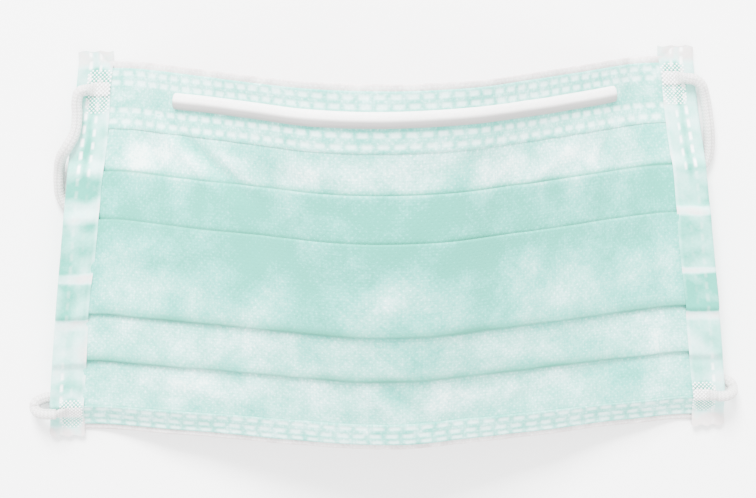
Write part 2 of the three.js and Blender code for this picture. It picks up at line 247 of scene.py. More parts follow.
class Finish:
    """One material: nodes by type, settings first, then the values or links of their sockets."""
    def __init__(self, name, **shader):
        self.material = bpy.data.materials.new(name)
        self.material.use_nodes = True
        self.nodes, self.links = self.material.node_tree.nodes, self.material.node_tree.links
        self.shader = self.nodes["Principled BSDF"]
        for key, value in shader.items():
            self.shader.inputs[key.replace("_", " ")].default_value = value
    def node(self, kind, settings=None, sockets=None):
        made = self.nodes.new(kind)
        for key, value in (settings or {}).items():
            if key == "stops":
                ramp = made.color_ramp
                while len(ramp.elements) < len(value):
                    ramp.elements.new(0.5)
                for element, (position, colour) in zip(ramp.elements, value):
                    element.position, element.color = position, colour
            else:
                setattr(made, key, value)
        for key, value in (sockets or {}).items():
            self.feed(made.inputs[key], value)
        return made
    def feed(self, socket, value):
        if isinstance(value, Signal):
            value = value.socket
        if isinstance(value, bpy.types.NodeSocket):
            self.links.new(value, socket)
        else:
            socket.default_value = value
    def number(self, kind, settings, sockets, output=0):
        return Signal(self, self.node(kind, settings, sockets).outputs[output])
    def mark(self, name):
        return self.number("ShaderNodeAttribute", dict(attribute_name=name), {}, "Fac")
    def position(self, scale=(1, 1, 1)):
        """The cloth's own map, in millimetres along the cloth."""
        uv = self.node("ShaderNodeUVMap", dict(uv_map="cloth")).outputs[0]
        size = tuple(100 * s for s in scale)
        return self.node("ShaderNodeVectorMath", dict(operation="MULTIPLY"), {0: uv, 1: size}).outputs[0]
    def split(self, vector):
        parts = self.node("ShaderNodeSeparateXYZ", {}, {0: vector})
        return Signal(self, parts.outputs[0]), Signal(self, parts.outputs[1])
    def noise(self, vector, scale, detail=3, roughness=0.5):
        return self.number("ShaderNodeTexNoise", {}, dict(Vector=vector, Scale=scale, Detail=detail,
                                                          Roughness=roughness))
    def mix(self, amount, first, second):
        made = self.node("ShaderNodeMix", dict(data_type="RGBA"), {0: amount, 6: first, 7: second})
        return made.outputs[2]
    def ramp(self, value, stops):
        return self.node("ShaderNodeValToRGB", dict(stops=stops), {0: value}).outputs[0]
    def bump(self, height, distance, strength=1.0):
        sockets = dict(Height=height, Distance=distance, Strength=strength)
        return self.node("ShaderNodeBump", {}, sockets).outputs[0]
    def wear(self, **sockets):
        for key, value in sockets.items():
            self.feed(self.shader.inputs[key.replace("_", " ")], value)
        return self.material

def dye(red, green, blue):
    """The share of red, green and blue light that the surface sends back."""
    return (red, green, blue, 1.0)

# %% [markdown]
# ## Finishes
# Spunbond cloth is a mat of random fibres pressed together at thousands of tiny bond points, so it looks
# cloudy from afar and speckled from near.  The cloud is broad noise, the fibres are fine noise stretched two
# ways, and the bond points are the crossings of two slanting waves.

# %% Bonded cloth
def bonded_cloth(name, stops, base, bond_whiteness=0.0):
    """Tone = stored tone + broad noise + fibres + bond points; the ramp turns tone into colour, and the fold
    mark then paints shade along the folds.
    """
    finish = Finish(name, Sheen_Weight=0.12, Sheen_Roughness=0.6, Specular_IOR_Level=0.25)
    at = finish.position()
    x, y = finish.split(at)
    cloud = finish.noise(at, 0.075, 4, 0.55)
    patch = finish.noise(at, 0.35, 4, 0.6)
    fibre = finish.noise(finish.position((1, 0.45, 1)), 1.6, 6, 0.7)
    strand = finish.noise(finish.position((0.4, 1, 1)), 2.2, 5, 0.7)
    lattice = (x * 3.9).sin() * (y * 3.9).sin()
    points = lattice.ease(0.35, 0.95)
    grain = (fibre + strand) * 0.5
    tone = base + (cloud - 0.5) * 0.65 + (patch - 0.5) * 0.60 + (grain - 0.5) * 1.5 + points * 0.16
    bond = finish.mark("bond").clamp()
    colour = finish.ramp((tone + finish.mark("tone")).clamp(), stops)
    colour = finish.mix(bond * bond_whiteness, colour, dye(0.72, 0.93, 0.90))
    # Painted shade: the fold mark darkens the cloth to deep green on fold lips and in the recesses behind them.
    fold = finish.mark("fold").clamp()
    colour = finish.mix(fold * 0.95, colour, dye(0.012, 0.23, 0.16))
    relief = grain * 0.6 + patch * 0.5 - points * 0.5
    return finish.wear(Base_Color=colour, Normal=finish.bump(relief, 0.00012, 0.55),
                       Roughness=0.82 + grain * 0.14 - bond * 0.25)

MINT_STOPS = [(0.0, dye(0.02, 0.34, 0.25)), (0.25, dye(0.06, 0.44, 0.36)), (0.5, dye(0.17, 0.55, 0.47)),
              (0.75, dye(0.38, 0.72, 0.68)), (1.0, dye(0.78, 0.97, 0.93))]
LINING_STOPS = [(0.0, dye(0.40, 0.35, 0.35)), (0.5, dye(0.56, 0.50, 0.50)), (1.0, dye(0.84, 0.79, 0.78))]
mint_cloth = bonded_cloth("mint_spunbond", MINT_STOPS, 0.33)
band_cloth = bonded_cloth("mint_bonded_band", MINT_STOPS, 0.47, 0.70)
lining_cloth = bonded_cloth("white_inner_cloth", LINING_STOPS, 0.6, 0.8)
print("cloth finishes", [m.name for m in (mint_cloth, band_cloth, lining_cloth)])

# %% [markdown]
# ## Ear loops
# An ear loop is a soft round knitted elastic.  It is made as a tube along a smooth curve through the same
# points as in the frame.  Each ring of the tube has a frame carried along without twisting, so that the
# knitted ribs stay straight.

# %% Elastic finish
def knitted_elastic():
    """Ribs run along the elastic, and small stitches cross them in a staggered row."""
    finish = Finish("knitted_elastic", Roughness=0.82, Sheen_Weight=0.3, Sheen_Roughness=0.5,
                    Specular_IOR_Level=0.3)
    at = finish.position()
    x, y = finish.split(at)
    stitch = ((x * 6.2832 * 1.2) + (y * 9.2).sin() * 1.3).sin()
    fuzz = finish.noise(at, 2.5, 5, 0.7)
    tone = 0.62 + stitch * 0.16 + (fuzz - 0.5) * 0.5
    colour = finish.ramp(tone.clamp(), [(0.0, dye(0.24, 0.23, 0.23)), (0.5, dye(0.52, 0.50, 0.49)),
                                        (1.0, dye(0.80, 0.78, 0.77))])
    return finish.wear(Base_Color=colour, Normal=finish.bump(stitch * 0.5 + fuzz * 0.4, 0.00010, 0.7))

elastic = knitted_elastic()

# %% Loop routes
# Across the table, height on the mask, and rise over the table, from the upper weld to the lower weld.
LOOP_DIAMETER = 2.6
LEFT_LOOP = [
    [-72.0, 85.6, 5.4], [-73.5, 85.1, 5.4], [-74.3, 82.8, 5.4], [-74.3, 79.5, 5.6],
    [-74.9, 75.5, 6.6], [-76.7, 72.3, 7.4], [-78.5, 69.4, 6.1], [-79.3, 66.0, 3.6],
    [-79.6, 62.5, 1.8], [-79.4, 59.5, 1.4], [-78.0, 57.0, 1.4], [-75.6, 55.2, 1.4],
    [-67.0, 53.8, 1.4], [-54.0, 52.8, 1.4], [-41.5, 49.5, 1.4], [-32.0, 42.5, 1.4],
    [-30.5, 33.0, 1.4], [-34.0, 23.5, 1.4], [-43.0, 17.0, 1.4], [-56.5, 13.2, 1.4], [-70.0, 10.8, 1.4],
    [-79.5, 9.2, 1.4], [-83.5, 8.7, 1.4], [-86.2, 8.2, 1.7], [-87.7, 7.4, 2.9],
    [-87.9, 6.4, 4.7], [-87.0, 5.6, 6.4], [-85.0, 5.4, 7.4], [-82.4, 5.4, 7.5],
]
RIGHT_LOOP = [
    [71.9, 86.9, 5.4], [73.9, 86.6, 5.4], [75.6, 85.2, 5.3], [76.6, 82.6, 4.7],
    [77.3, 79.0, 3.7], [77.9, 75.0, 2.6], [78.3, 71.0, 1.7], [78.1, 67.6, 1.4],
    [76.6, 64.9, 1.4], [73.5, 63.1, 1.4], [65.0, 61.0, 1.4], [53.0, 58.8, 1.4],
    [41.0, 54.2, 1.4], [31.0, 46.5, 1.4], [27.0, 36.5, 1.4], [30.5, 27.0, 1.4], [41.0, 19.8, 1.4],
    [53.5, 15.4, 1.4], [66.0, 12.9, 1.4], [76.0, 11.5, 1.4], [82.0, 10.9, 1.4],
    [84.5, 10.3, 1.7], [85.8, 9.5, 3.1], [86.1, 8.7, 5.1], [85.5, 8.0, 7.1],
    [83.9, 7.7, 8.5], [81.6, 7.6, 8.6],
]
WALL_EXCESS = 2.2          # the frame's walls under a loop's end are that much thicker than the cloth

def route_points(rows):
    """Frame route in millimetres, settled onto the thinner cloth where it lies on a tape."""
    points = np.array(rows, dtype=float)
    points[:, 1] -= MIDDLE_HEIGHT
    points[:, 2] -= WALL_EXCESS * smooth_step(2.0, 5.0, points[:, 2])
    return points

def spline(points, spacing):
    """Centripetal Catmull-Rom through the points, then points an even spacing apart along it."""
    ends = np.vstack([2 * points[0] - points[1], points, 2 * points[-1] - points[-2]])
    knots = np.concatenate([[0], np.cumsum(np.linalg.norm(np.diff(ends, axis=0), axis=1) ** 0.5)])
    fine = np.linspace(knots[1], knots[-2] - 1e-6, 3000)
    k = np.clip(np.searchsorted(knots, fine, side="right") - 1, 1, len(ends) - 3)
    t = fine[:, None]
    t0, t1, t2, t3 = (knots[k + step][:, None] for step in (-1, 0, 1, 2))
    p0, p1, p2, p3 = (ends[k + step] for step in (-1, 0, 1, 2))
    a1 = (t1 - t) / (t1 - t0) * p0 + (t - t0) / (t1 - t0) * p1
    a2 = (t2 - t) / (t2 - t1) * p1 + (t - t1) / (t2 - t1) * p2
    a3 = (t3 - t) / (t3 - t2) * p2 + (t - t2) / (t3 - t2) * p3
    b1 = (t2 - t) / (t2 - t0) * a1 + (t - t0) / (t2 - t0) * a2
    b2 = (t3 - t) / (t3 - t1) * a2 + (t - t1) / (t3 - t1) * a3
    curve = (t2 - t) / (t2 - t1) * b1 + (t - t1) / (t2 - t1) * b2
    travelled = np.concatenate([[0], np.cumsum(np.linalg.norm(np.diff(curve, axis=0), axis=1))])
    even = np.linspace(0, travelled[-1], int(travelled[-1] / spacing) + 1)
    return np.stack([np.interp(even, travelled, curve[:, axis]) for axis in range(3)], axis=1), even

def carried_frames(line):
    """Tangents, and a normal reflected from ring to ring so that it never twists."""
    tangent = np.gradient(line, axis=0)
    tangent /= np.linalg.norm(tangent, axis=1)[:, None]
    normal = np.empty_like(line)
    start = np.array([0.0, 0.0, 1.0])
    normal[0] = start - tangent[0] * (start @ tangent[0])
    for ring in range(1, len(line)):
        moved = normal[ring - 1] - tangent[ring] * (normal[ring - 1] @ tangent[ring])
        normal[ring] = moved / np.linalg.norm(moved)
    return tangent, normal, np.cross(tangent, normal)

# %% Loop tubes
def elastic_tube(name, rows, node):
    """Ring radius = elastic radius times 1 + small ribs; rings sit square to the route, ends rounded over."""
    line, along = spline(route_points(rows), 0.4)
    tangent, normal, side = carried_frames(line)
    turn = np.linspace(0, 2 * np.pi, 24, endpoint=False)[None, :]
    rib = 1 + 0.020 * np.cos(8 * turn) + 0.012 * np.sin(2 * np.pi * along[:, None] / 0.9 + 4 * turn)
    slack = 1 + 0.03 * waves(along, 0 * along, 30, 9, 6, 21)[:, None]
    radius = LOOP_DIAMETER / 2 * rib * slack
    rings = (line[:, None, :] + radius[..., None] * (np.cos(turn)[..., None] * normal[:, None, :]
                                                      + np.sin(turn)[..., None] * side[:, None, :]))
    rings[..., 2] = np.maximum(rings[..., 2], 0.05)
    rows_count, columns = rings.shape[:2]
    faces = grid_faces(rows_count, columns, wrap_columns=True)[:, ::-1]
    u = np.broadcast_to(along[:, None], (rows_count, columns))
    v = np.broadcast_to(turn * LOOP_DIAMETER / 2, (rows_count, columns))
    points = rings.reshape(-1, 3)
    last = rows_count * columns
    k = np.arange(columns)
    k2 = (k + 1) % columns
    start_cap = np.stack([k2, k, np.full(columns, last)], axis=1)
    end_cap = np.stack([last - columns + k, last - columns + k2, np.full(columns, last + 1)], axis=1)
    points = np.vstack([points, line[:1] - tangent[:1] * 0.5, line[-1:] + tangent[-1:] * 0.5])
    uv = np.vstack([np.stack([u, v], axis=-1).reshape(-1, 2), [[0, 0], [along[-1], 0]]]) / 100
    triangles = np.vstack([faces[:, [0, 1, 2]], faces[:, [0, 2, 3]], start_cap, end_cap])
    piece = write_mesh(name, points * MM, triangles, elastic, uv)
    adopt(piece, "elastic", node)
    print(name, "length mm", round(float(along[-1]), 1))
    return piece

left_elastic = elastic_tube("left_elastic", LEFT_LOOP, "left_ear_loop")
right_elastic = elastic_tube("right_elastic", RIGHT_LOOP, "right_ear_loop")

# %% [markdown]
# ## The pleated cloth
# One sheet goes down the front, turns back under itself and turns again, four times.  Seen from the side that
# is a zig-zag of straight runs and half turns, and the whole sheet is that zig-zag carried across the arch.
# The outer ply and the inner ply are two faces of it, so the inside of the mask is white as it should be.

# %% Pleat path
def pleat_path(run_spacing, turn_steps):
    """Zig-zag in height and level with the direction its front faces, as four arrays, and the cloth used."""
    radius, level, top = PLY_STEP / 2, 0.0, GREEN_HIGH
    parts = []
    def run(start, end, facing):
        count = max(int(abs(start - end) / run_spacing), 2)
        h = np.linspace(start, end, count + 1)
        parts.append(np.stack([h, h * 0 + level, h * 0, h * 0 + facing]))
    for pleat in PLEATS:
        side = pleat["side"]
        ends = [pleat["edge"] - side * (PLY_HALF + radius), pleat["edge"] - side * (PLEAT_DEPTH - radius)]
        low, high = min(ends), max(ends)
        angle = np.linspace(0, np.pi, turn_steps + 1)[1:-1]
        run(top, low, 1)
        for centre, heading in ((low, -1), (high, 1)):
            parts.append(np.stack([centre + heading * radius * np.sin(angle),
                                   level + side * radius * (1 - np.cos(angle)),
                                   side * np.sin(angle), -heading * np.cos(angle)]))
            level += side * PLY_STEP
            if heading < 0:
                run(low, high, -1)
        top = high
    run(top, GREEN_LOW, 1)
    height, level_array, face_height, face_level = np.concatenate(parts, axis=1)
    used = np.concatenate([[0], np.cumsum(np.hypot(np.diff(height), np.diff(level_array)))])
    return height, level_array, face_height, face_level, used

# %% [markdown]
# The broad light and dark areas of the cloth are charted, a row to each, and stored on the vertices.

# %% Tones of the cloth
# across, height, half width, half height, tone (plus is paler, minus is greener)
TONES = np.array([
    (-56, 71, 15, 5, 0.34), (-68, 72, 6, 5, 0.22), (-48, 74, 16, 2, -0.30), (-35, 70, 8, 4, -0.22),
    (-18, 71, 9, 4, 0.26), (8, 72, 14, 5, 0.16), (36, 71, 20, 5, 0.24), (60, 71, 8, 5, 0.12),
    (74, 74, 4, 4, -0.25), (-40, 61, 26, 5, -0.12), (8, 60, 18, 5, -0.18), (48, 59, 16, 5, 0.05),
    (-30, 48, 14, 6, -0.22), (16, 50, 12, 5, -0.26), (22, 53, 14, 2, -0.12), (-52, 46, 16, 5, -0.10),
    (55, 47, 18, 5, 0.02), (-62, 38, 10, 6, 0.22), (2, 40, 10, 5, 0.26), (40, 40, 16, 6, 0.20),
    (64, 38, 8, 6, 0.12), (-12, 36, 10, 5, -0.12), (24, 37, 9, 5, -0.14), (-38, 34, 10, 4, 0.10),
    (-44, 25, 16, 4, 0.20), (6, 24, 13, 4, -0.26), (34, 24, 14, 4, -0.05), (66, 26, 8, 4, 0.18),
    (52, 23, 8, 4, -0.12), (-50, 14, 18, 4, 0.22), (-14, 13, 9, 4, 0.26), (16, 14, 12, 4, 0.22),
    (42, 13, 14, 4, 0.24), (60, 14, 7, 4, -0.16), (8, 11, 9, 4, 0.14), (-36, 9, 14, 3, -0.14),
    (68, 11, 8, 4, 0.16),
])
PANEL_TONE = dict(
    height=[17, 20.5, 29.5, 32.5, 44, 53, 56, 65, 67.5, 76],
    tone=[0.12, 0.17, 0.14, -0.02, -0.08, -0.26, -0.20, -0.20, 0.16, 0.12],
)

def cloth_tone(across, height):
    """Bell-shaped patches on top of one tone for each panel between two folds, a soft wash, and painted
    light and shade along the creases.
    """
    tone = np.interp(height, PANEL_TONE["height"], PANEL_TONE["tone"]) + 0 * across
    for a, h, wide, high, amount in TONES:
        tone = tone + amount * np.exp(-((across - a) / wide) ** 2 - ((height - h) / high) ** 2)
    wash = 0.07 * waves(across, height, 26, 7, 30, 12)
    # Painted light and shade: each crease's ridge is painted paler and its dip greener, following its relief.
    return tone + wash + 0.42 * creases(across, height)

def fold_shade(across, height, level):
    """Painted shade along the folds: each fold darkens its own rounded lip by a bell of one reach and the
    cloth behind it by another; the strength drifts along the fold, since the plies press together unevenly."""
    total = np.zeros(np.broadcast(across, height, level).shape)
    front = 0.0
    for number, pleat in enumerate(PLEATS):
        side = pleat["side"]
        behind = front if side > 0 else front - 2 * PLY_STEP
        lip = front + 2 * PLY_STEP if side > 0 else front
        gap = (height - pleat["edge"]) * side
        if side > 0:
            lip_reach, lip_depth, back_reach, back_depth = 0.35, 0.5, 0.55, 0.7
        else:
            lip_reach, lip_depth, back_reach, back_depth = 1.8, 1.0, 0.6, 0.9
        drift = 0.80 + 0.20 * waves(across, 0 * across, 60, 14, 8, 50 + number)
        edge = np.exp(-(gap / lip_reach) ** 2) * (np.abs(level - lip) < 0.4) * (gap < 0.6) * lip_depth
        painted_recess_shade = np.exp(-(gap / back_reach) ** 2) * (np.abs(level - behind) < 0.3) * (gap > -0.5) * back_depth
        total = np.maximum(total, np.maximum(edge, painted_recess_shade) * drift)
        front += 2 * side * PLY_STEP
    return total

# %% Outer and inner ply
def ply(name, offset, columns, run_spacing, turn_steps, material, half_across=86.6):
    """Point = place(across, height + offset along the facing, level + offset along the facing)."""
    height, level, face_height, face_level, used = pleat_path(run_spacing, turn_steps)
    across = np.linspace(-half_across, half_across, columns)[None, :]
    h = (height + offset * face_height)[:, None]
    l = (level + offset * face_level)[:, None]
    points = place(across, h, l)
    faces = grid_faces(len(height), columns)
    if offset < 0:
        faces = faces[:, ::-1]
    grid = np.ones((len(height), columns))
    uv = np.stack([across * grid, used[:, None] * grid], axis=-1).reshape(-1, 2) / 100
    front = offset > 0
    tone = (cloth_tone(across, h) if front else 0.1) * grid
    # The fold mark is painted shade along the folds, on the front face only.
    marks = dict(tone=tone, fold=fold_shade(across, h, l) * grid * front, bond=0 * grid)
    piece = write_mesh(name, points.reshape(-1, 3), faces, material, uv, marks)
    return adopt(piece, "mint_cloth" if offset > 0 else "white_lining", "pleated_panel"), float(used[-1])

outer_ply, cloth_used = ply("outer_ply", PLY_HALF, 251, 0.62, 8, mint_cloth)
inner_ply, _ = ply("inner_ply", -PLY_HALF, 151, 1.1, 6, lining_cloth)
print("cloth from edge to edge through the pleats, mm", round(cloth_used, 1))

# %% [markdown]
# ## Bonded bands
# Along the nose and chin edges the plies are welded together in rows of short dashes.  A weld is pressed
# flat, so each dash is a real dip, and its mark makes the cloth there whiter.

# %% Bands
def dash_field(across, height, rows):
    """For each row, 1 inside a rounded dash and 0 outside, from two smooth steps; rows may lean and drift."""
    field = np.zeros(np.broadcast(across, height).shape)
    for row in rows:
        shifted = across - row["start"]
        near = np.abs((shifted / row["pitch"] + 0.5) % 1 - 0.5) * row["pitch"]
        middle = row["height"] + 0.12 * np.sin(across / 7.0)
        inside = smooth_step(row["long"] / 2 + 0.5, row["long"] / 2 - 0.5, near)
        inside = inside * smooth_step(row["wide"] / 2 + 0.35, row["wide"] / 2 - 0.35, np.abs(height - middle))
        field = np.maximum(field, inside)
    return field

def thin_band(name, low, high, rear, thickness, rows, columns, lines, material, slot_name, node, half=80.6):
    """A closed flat loop round the band's section: up the front, over the edge and down the rear."""
    front_h = np.linspace(low, high, lines)
    rear_h = np.linspace(high, low, 6)
    h = np.concatenate([front_h, rear_h])[:, None]
    is_front = np.concatenate([np.ones(lines), np.zeros(6)])[:, None]
    across = np.linspace(-half, half, columns)[None, :]
    dashes = dash_field(across, h, rows) * is_front
    pucker = 0.025 * waves(across, h, 9, 3, 20, 31) * is_front
    edge_round = 1 - 0.6 * smooth_step(0.5, 0, np.minimum(h - low, high - h))
    level = rear + is_front * thickness * edge_round + pucker - 0.10 * dashes
    points = place(across, h, level)
    grid = np.ones(level.shape)
    uv = np.stack([across * grid, h * grid], axis=-1).reshape(-1, 2) / 100
    # Random mottle, plus painted shadow: the tone is darkened in a strip just under the nose strip.
    mottle_and_strip_shadow = 0.06 * waves(across, h, 9, 3, 24, 33) - 0.12 * smooth_step(2.2, 0.4, np.abs(h - 81.6))
    marks = dict(tone=mottle_and_strip_shadow * grid, fold=0 * grid, bond=dashes)
    faces = grid_faces(lines + 6, columns, wrap_rows=True)[:, ::-1]
    piece = write_mesh(name, points.reshape(-1, 3), faces, material, uv, marks)
    return adopt(piece, slot_name, node)

def dash_row(height, pitch, start, long, wide):
    """One row of welded dashes: its height, spacing and first dash, and how long and wide a dash is."""
    return dict(height=height, pitch=pitch, start=start, long=long, wide=wide)

NOSE_ROWS = [
    dash_row(89.2, 3.6, 0.4, 2.3, 1.1), dash_row(87.0, 3.6, 0.9, 2.3, 1.1),
    dash_row(80.4, 3.6, 0.2, 2.3, 1.1), dash_row(77.7, 3.6, 1.2, 2.3, 1.1),
]
CHIN_ROWS = [
    dash_row(6.1, 3.95, 0.5, 2.6, 0.9), dash_row(4.0, 3.95, -0.2, 2.6, 0.9),
    dash_row(2.3, 3.95, 0.3, 2.5, 0.8),
]
nose_band = thin_band("nose_band", 76.0, GREEN_HIGH, 0.2, 0.28, NOSE_ROWS, 480, 56,
                      band_cloth, "mint_band", "top_hem")
chin_band = thin_band("chin_band", GREEN_LOW, 7.2, 0.2, 0.28, CHIN_ROWS, 480, 26,
                      band_cloth, "mint_band", "bottom_hem")

# %% [markdown]
# The white inner cloth is cut a little larger than the green one, so it shows as a pale margin along both
# edges.  It is pressed with a row of very small dots.

# %% Edges of the inner cloth
NOSE_DOTS = [dash_row(91.2, 1.3, 0.0, 0.4, 0.25)]
CHIN_DOTS = [dash_row(0.85, 1.3, 0.3, 0.4, 0.25)]
nose_lining = thin_band("nose_edge_lining", 80.0, 92.0, -0.5, 0.3, NOSE_DOTS, 360, 30,
                        lining_cloth, "white_lining", "top_lining")
chin_lining = thin_band("chin_edge_lining", 0.0, 12.0, -0.5, 0.3, CHIN_DOTS, 360, 30,
                        lining_cloth, "white_lining", "bottom_lining")

# %% [markdown]
# ## Nose strip
# The nose strip is a soft wire in a white plastic sleeve.  Its section is a low half round, so it catches the
# light along its upper side and shades itself along the lower one; the lower half is also painted grey as
# painted shade.

# %% Strip finish and strip
def strip_plastic():
    """Satin plastic with faint drawn lines along the strip; the under mark paints shade on its lower half."""
    finish = Finish("nose_strip_plastic", Specular_IOR_Level=0.4)
    at = finish.position((0.12, 1, 1))
    drawn = finish.noise(at, 2.0, 4, 0.6)
    speck = finish.noise(finish.position(), 1.4, 4, 0.6)
    colour = finish.mix(((drawn + speck) * 0.5).ease(0.3, 0.7), dye(0.78, 0.76, 0.75), dye(0.90, 0.88, 0.87))
    # Painted shade: the lower half of the strip is mixed towards grey.
    colour = finish.mix(finish.mark("under").clamp(), colour, dye(0.30, 0.29, 0.285))
    return finish.wear(Base_Color=colour, Roughness=0.45 + speck * 0.2,
                       Normal=finish.bump(drawn + speck * 0.4, 0.00008, 0.5))

def nose_strip(half_long, middle, half_wide, rise, rear):
    """Section: rise times the square root of 1 - t^2, with t across the strip; the ends are squared off."""
    t = np.sin(np.linspace(-np.pi / 2, np.pi / 2, 17))
    top = rear + 0.25 + rise * np.sqrt(np.maximum(1 - t * t, 0))
    h = np.concatenate([middle + half_wide * t, [middle + half_wide, middle - half_wide]])[:, None]
    level = np.concatenate([top, [rear, rear]])[:, None]
    along = np.linspace(-half_long, half_long, 220)[None, :]
    across = along + 2.4
    end = smooth_step(half_long, half_long - 0.7, np.abs(along))
    height = middle + (h - middle) * (0.75 + 0.25 * end) + 0.10 * np.sin(across / 9.0)
    # lower marks the strip's lower half, which the finish greys as painted shade.
    lower = np.concatenate([smooth_step(0.30, -0.20, t), [0, 1]])[:, None] + 0 * along
    points = place(across, height, rear + (level - rear) * end)
    rows, columns = points.shape[:2]
    uv = np.stack([across + 0 * h, h + 0 * across], axis=-1).reshape(-1, 2) / 100
    faces = grid_faces(rows, columns, wrap_rows=True)[:, ::-1]
    marks = dict(under=lower)
    piece = write_mesh("nose_wire_sleeve", points.reshape(-1, 3), faces, strip_plastic(), uv, marks)
    return adopt(piece, "nose_strip", "nose_strip")

nose_sleeve = nose_strip(62.6, 84.0, 1.95, 1.05, 0.48)

# %% [markdown]
# ## Side tapes
# A tape is folded round each side edge over the ends of the pleats and sewn by heat in two rows of small
# slots.  It is thin enough for the green cloth to show where the plies lie close beneath it.

# %% Tape finish
def tape_cloth():
    """Colour goes from white to green with the stored show-through; welded slots are pure white."""
    finish = Finish("side_tape_cloth", Sheen_Weight=0.1, Specular_IOR_Level=0.25)
    at = finish.position()
    x, y = finish.split(at)
    grain = finish.noise(at, 1.8, 6, 0.7)
    patch = finish.noise(at, 0.25, 3, 0.6)
    mesh = (x * 3.9).sin() * (y * 3.9).sin()
    show = (finish.mark("show") + (patch - 0.5) * 0.55 + (grain - 0.5) * 0.25).clamp()
    colour = finish.ramp(show, [(0.0, dye(0.66, 0.60, 0.59)), (0.35, dye(0.47, 0.74, 0.71)),
                                (0.7, dye(0.17, 0.56, 0.47)), (1.0, dye(0.02, 0.34, 0.25))])
    slot_mark = finish.mark("bond").clamp()
    colour = finish.mix(slot_mark, colour, dye(0.97, 0.98, 0.98))
    return finish.wear(Base_Color=colour, Roughness=0.78 + grain * 0.15 - slot_mark * 0.2,
                       Normal=finish.bump(grain + mesh * 0.3, 0.00010, 0.5))

side_cloth = tape_cloth()

# %% Tapes
# Each weld: its name, its side, the height of the elastic's end, the lowest and highest dot, and its node.
CORNERS = [
    ("left_upper", -1, 85.6, 79.8, 90.2, "left_upper_loop_tab"),
    ("left_lower", -1, 5.4, 0.9, 9.0, "left_lower_loop_tab"),
    ("right_upper", 1, 86.9, 80.6, 90.6, "right_upper_loop_tab"),
    ("right_lower", 1, 7.6, 2.6, 11.0, "right_lower_loop_tab"),
]

def stack_level(height):
    """Level of the foremost cloth under the tape, with a soft ramp beside each fold."""
    level = 0 * height
    for pleat in PLEATS:
        over = smooth_step(2.6, 0.2, (height - pleat["edge"]) * pleat["side"])
        level = level + pleat["side"] * 2 * PLY_STEP * (over if pleat["side"] > 0 else 1 - over)
    return level

def tape_pucker(hand, across, height):
    """How far the tape's face rises and dips, in short soft waves."""
    return 0.10 * waves(across, height, 12, 4, 16, 40 + hand)

def tape(name, hand, show_rows, slot_rows, node):
    """A U-shaped section: front leg, half round and rear leg, carried from below the chin to above the nose."""
    front = np.linspace(TAPE_INNER, HALF_WIDTH - 0.7, 36)
    round_turn = np.linspace(np.pi / 2, -np.pi / 2, 9)
    rear = np.linspace(HALF_WIDTH - 0.7, TAPE_INNER, 8)
    across = np.concatenate([front, HALF_WIDTH - 0.7 + 0.7 * np.cos(round_turn[1:-1]), rear])[:, None]
    face = np.concatenate([np.ones(36), np.sin(round_turn[1:-1]), -np.ones(8)])[:, None]
    t = np.linspace(0, 1, 260)[None, :]
    high = 94.4 - 2.6 * smooth_step(83.5, TAPE_INNER, across) * (face > 0)
    low = -1.5 + 0.25 * np.sin(across * 2.1)
    height = low + t * (high + 0.2 * np.sin(across * 1.7) - low)
    shift = 0.35 * np.sin(height / 11.0 + hand) + 0.2 * np.sin(height / 4.3)
    leg_edge = across + shift * smooth_step(84, TAPE_INNER, across) * 0.6
    slots = 0 * height
    for row in slot_rows:
        near = np.abs((height / row["pitch"] + row["start"] + 0.5) % 1 - 0.5) * row["pitch"]
        column = row["across"] + 0.15 * np.sin(height / 8.0)
        inside = smooth_step(row["long"] / 2 + 0.3, row["long"] / 2 - 0.2, near)
        inside = inside * smooth_step(row["wide"] / 2 + 0.22, row["wide"] / 2 - 0.12, np.abs(across - column))
        strength = np.interp(height, row["clear"][0], row["clear"][1])
        slots = np.maximum(slots, inside * strength)
    slots = slots * (face > 0.5)
    stack = stack_level(height)
    pucker = tape_pucker(hand, across, height)
    level = np.where(face >= 0, (stack + TAPE_FACE) * face, TAPE_FACE * face)
    level = level + pucker * (face > 0.5) - 0.18 * slots
    free = 0.30 * smooth_step(7.6, 9.5, height) * smooth_step(75.6, 74.0, height)
    inner_press = (0.06 + free) * smooth_step(TAPE_INNER + 1.6, TAPE_INNER + 0.2, across) * (face > 0.5)
    points = place(hand * leg_edge, height, level - inner_press)
    grid = np.ones(height.shape)
    show = np.interp(height, *show_rows) * grid + 0.10 * smooth_step(2, 4, height)
    show = show + 0.10 * waves(across, height, 16, 4, 24, 60 + hand)
    show = show - 0.16 * smooth_step(TAPE_INNER + 1.0, TAPE_INNER + 0.3, across) * (face > 0.5)
    show = show + 0.30 * np.exp(-((across - 83.3) / 0.9) ** 2) * smooth_step(60, 66, height) * (face > 0.5)
    weld = np.zeros(height.shape)
    for label, side, middle, weld_low, weld_high, weld_node in CORNERS:
        if side == hand:
            centre, reach = (weld_low + weld_high) / 2, (weld_high - weld_low) / 2
            far_out = np.hypot((across - 82.1) / 2.7, (height - centre) / reach)
            weld = np.maximum(weld, smooth_step(1.25, 0.95, far_out))
    show = show + 0.45 * weld * (face > 0.5)
    uv = np.stack([hand * across * grid + 9 * (face < 0), height], axis=-1).reshape(-1, 2) / 100
    faces = grid_faces(*height.shape)
    if hand < 0:
        faces = faces[:, ::-1]
    piece = write_mesh(name, points.reshape(-1, 3), faces, side_cloth, uv, dict(show=show, bond=slots))
    return adopt(piece, "side_tape", node)

